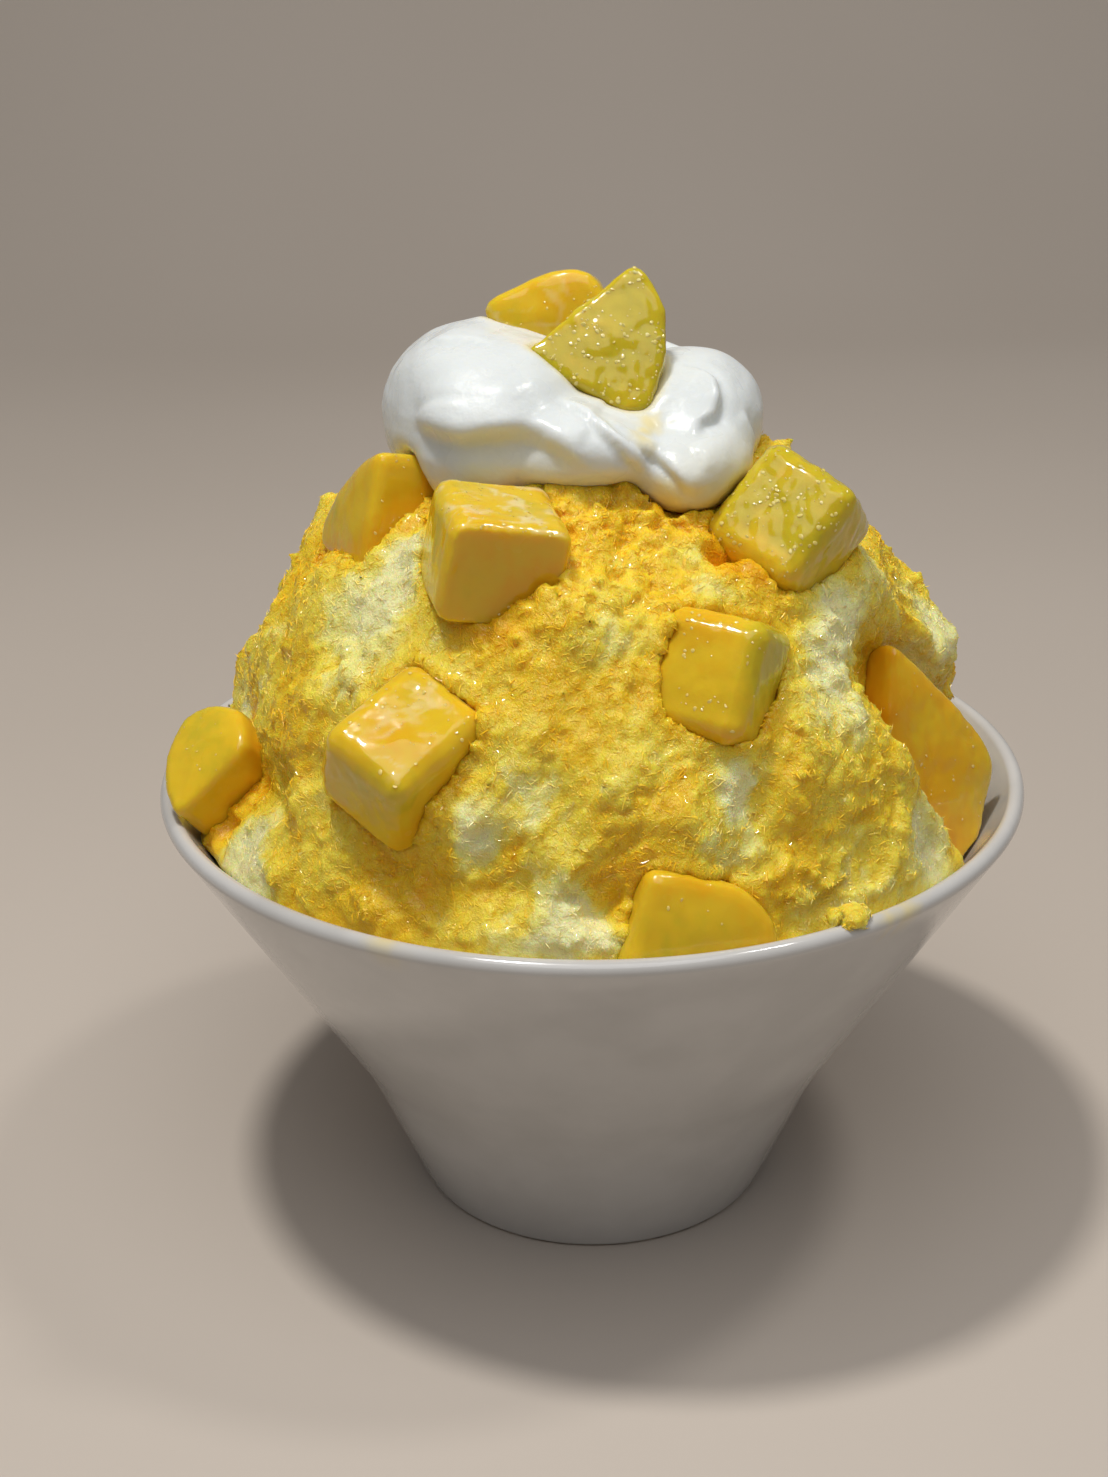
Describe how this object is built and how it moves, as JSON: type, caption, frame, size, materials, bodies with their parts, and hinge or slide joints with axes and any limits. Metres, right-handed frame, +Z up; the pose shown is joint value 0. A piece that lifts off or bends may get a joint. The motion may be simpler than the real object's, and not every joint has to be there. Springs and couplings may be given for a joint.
{
  "type": "shaved ice dessert",
  "caption": "Shaved ice heaped above the rim of a conical bowl, topped with a dollop of whipped cream and studded with cut fruit",
  "frame": {"origin": "middle of the bowl's foot, on the surface that it stands on", "axes": "+Z up along the bowl's axis, -Y towards the eater, +X to the eater's right"},
  "size_m": [0.1796, 0.18, 0.2016],
  "materials": {
    "glazed_white": "gloss",
    "syrup_ice": "wet, granular",
    "cream": "soft satin",
    "mango": "wet"
  },
  "bodies": {
    "root": {"bowl": "glazed_white", "shaved_ice": "syrup_ice", "whipped_cream": "cream", "mango_top_back": "mango", "mango_top_front": "mango", "mango_slab_upper_left": "mango", "mango_cube_upper_centre": "mango", "mango_cube_upper_right": "mango", "mango_cube_middle_right": "mango", "mango_cube_middle_left": "mango", "mango_chunk_rim_left": "mango", "mango_chunk_rim_front": "mango", "mango_slice_rim_right": "mango", "mango_cube_back_high": "mango", "mango_cube_back_left": "mango", "mango_cube_back_right": "mango", "mango_chunk_rim_back": "mango"}
  },
  "joints": []
}
